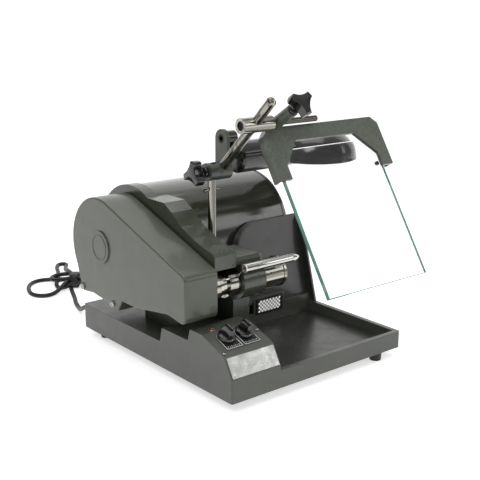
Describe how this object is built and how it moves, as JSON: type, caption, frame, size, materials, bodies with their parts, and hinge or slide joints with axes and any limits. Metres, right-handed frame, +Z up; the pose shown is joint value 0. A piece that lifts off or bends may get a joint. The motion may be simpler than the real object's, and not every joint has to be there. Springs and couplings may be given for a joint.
{
  "type": "dental lathe",
  "caption": "Bench polishing lathe with a belt-driven chuck over a catch pan, a dust hood, a tilting glass shield and a lamp on a clamped post.",
  "frame": {"origin": "under the middle of the machine's box, at the level of the feet; the mains lead isn't counted", "axes": "+Z up, +X along the spindle to its chuck, +Y from the operator to the motor"},
  "size_m": [0.381, 0.7279, 0.3732],
  "materials": {
    "base_paint": "satin grey-green enamel over cast aluminium",
    "guard_paint": "satin grey-green enamel",
    "arm_paint": "satin grey-green enamel over a casting",
    "hood_paint": "dark satin enamel on sheet steel",
    "motor_paint": "glossy dark enamel on a rolled shell",
    "frame_paint": "hammered grey-green enamel",
    "shade_paint": "glossy near-black enamel",
    "chrome": "bright plated steel",
    "steel": "machined steel",
    "screen_steel": "bright perforated sheet",
    "aluminium": "turned aluminium",
    "laminations": "stacked electrical steel",
    "black_plastic": "moulded black plastic",
    "legend_black": "printed dial plate with a pale outline",
    "plate_silver": "bare satin plate",
    "pilot_red": "red lens",
    "black_rubber": "matt black rubber",
    "brass_pins": "bright brass",
    "shield_glass": "clear plate glass with green edges",
    "bulb_glass": "frosted bulb"
  },
  "bodies": {
    "base": {"base_casting": "base_paint", "bottom_cover": "base_paint", "rubber_feet": "black_rubber", "perforated_screen": "screen_steel", "dust_hood": "hood_paint", "dust_outlet": "aluminium", "motor_shell": "motor_paint", "motor_end_bell": "motor_paint", "motor_bolts": "steel", "stator": "laminations", "motor_bearings": "steel", "motor_saddle": "hood_paint", "drive_belt": "black_rubber", "belt_guard": "guard_paint", "guard_fixings": "steel", "arm_casting": "arm_paint", "arm_bolts": "steel", "spindle_quill": "chrome", "spindle_bearings": "steel", "legend_plates": "legend_black", "blank_plate": "plate_silver", "pilot_lamp": "pilot_red", "power_switch": "black_plastic", "speed_control": "black_plastic", "panel_screws": "steel", "cord_gland": "black_rubber", "cord_lead": "black_rubber", "cord_hank": "black_rubber", "plug_body": "black_plastic", "plug_pins": "brass_pins"},
    "motor_rotor": {"rotor": "steel", "motor_shaft": "steel", "motor_pulley": "aluminium"},
    "spindle": {"spindle_shaft": "steel", "spindle_pulley": "aluminium", "chuck_body": "chrome", "collet": "steel"},
    "release_lever": {"release_collar": "chrome", "lever_rod": "chrome", "lever_handle": "chrome"},
    "power_dial": {"power_knob": "black_plastic"},
    "speed_dial": {"speed_knob": "black_plastic"},
    "post": {"shield_post": "chrome", "post_pin": "chrome"},
    "carriage": {"lower_clamp": "arm_paint", "lamp_bracket": "arm_paint", "lamp_bolt": "steel"},
    "clamp_knob": {"lower_knob": "black_plastic"},
    "tilt_arm": {"rod_hub": "arm_paint", "tilt_rod": "chrome"},
    "sleeve": {"upper_sleeve": "chrome", "pivot_bar": "chrome"},
    "shield": {"shield_frame": "frame_paint", "shield_glass": "shield_glass", "glass_screws": "steel"},
    "frame_knob": {"upper_knob": "black_plastic"},
    "lamp": {"lamp_neck": "shade_paint", "lamp_socket": "shade_paint", "lamp_shade": "shade_paint", "lamp_bulb": "bulb_glass"}
  },
  "joints": [
    {"name": "motor_spin", "type": "hinge", "parent": "base", "child": "motor_rotor", "pos_m": [-0.0195, 0.09637, 0.149], "axis": [1, 0, 0], "continuous": true},
    {"name": "spindle_spin", "type": "hinge", "parent": "base", "child": "spindle", "pos_m": [-0.0915, -0.07063, 0.128], "axis": [1, 0, 0], "continuous": true},
    {"name": "lever_turn", "type": "hinge", "parent": "base", "child": "release_lever", "pos_m": [-0.0915, -0.07063, 0.128], "axis": [1, 0, 0], "range_deg": [-8, 40]},
    {"name": "power_turn", "type": "hinge", "parent": "base", "child": "power_dial", "pos_m": [-0.1465, -0.1306, 0.08019], "axis": [0, -0.3417, 0.9398], "range_deg": [0, 90]},
    {"name": "speed_turn", "type": "hinge", "parent": "base", "child": "speed_dial", "pos_m": [-0.1185, -0.1306, 0.08019], "axis": [0, -0.3417, 0.9398], "range_deg": [0, 270]},
    {"name": "post_swing", "type": "hinge", "parent": "base", "child": "post", "pos_m": [-0.079, -0.01563, 0.214], "axis": [0, 0, 1], "range_deg": [-30, 45]},
    {"name": "carriage_height", "type": "slide", "parent": "post", "child": "carriage", "axis": [0, 0, 1], "range_m": [-0.008, 0.005]},
    {"name": "clamp_knob_turn", "type": "hinge", "parent": "carriage", "child": "clamp_knob", "pos_m": [-0.1115, -0.01563, 0.264], "axis": [1, 0, 0], "range_deg": [-90, 90]},
    {"name": "arm_tilt", "type": "hinge", "parent": "carriage", "child": "tilt_arm", "pos_m": [-0.0615, -0.01563, 0.264], "axis": [1, 0, 0], "range_deg": [-25, 8]},
    {"name": "sleeve_slide", "type": "slide", "parent": "tilt_arm", "child": "sleeve", "axis": [0, -0.7145, 0.6997], "range_m": [-0.02, 0.015]},
    {"name": "shield_tilt", "type": "hinge", "parent": "sleeve", "child": "shield", "pos_m": [-0.0215, -0.08493, 0.33187], "axis": [1, 0, 0], "range_deg": [-45, 5]},
    {"name": "frame_knob_turn", "type": "hinge", "parent": "shield", "child": "frame_knob", "pos_m": [-0.0265, -0.12719, 0.35858], "axis": [0, -0.8453, 0.5344], "range_deg": [-90, 90]},
    {"name": "lamp_tilt", "type": "hinge", "parent": "carriage", "child": "lamp", "pos_m": [-0.0315, 0.00837, 0.3015], "axis": [1, 0, 0], "range_deg": [-25, 20]}
  ],
  "couplings": [
    {"joint": "spindle_spin", "follows": "motor_spin", "ratio": 2.7778}
  ]
}
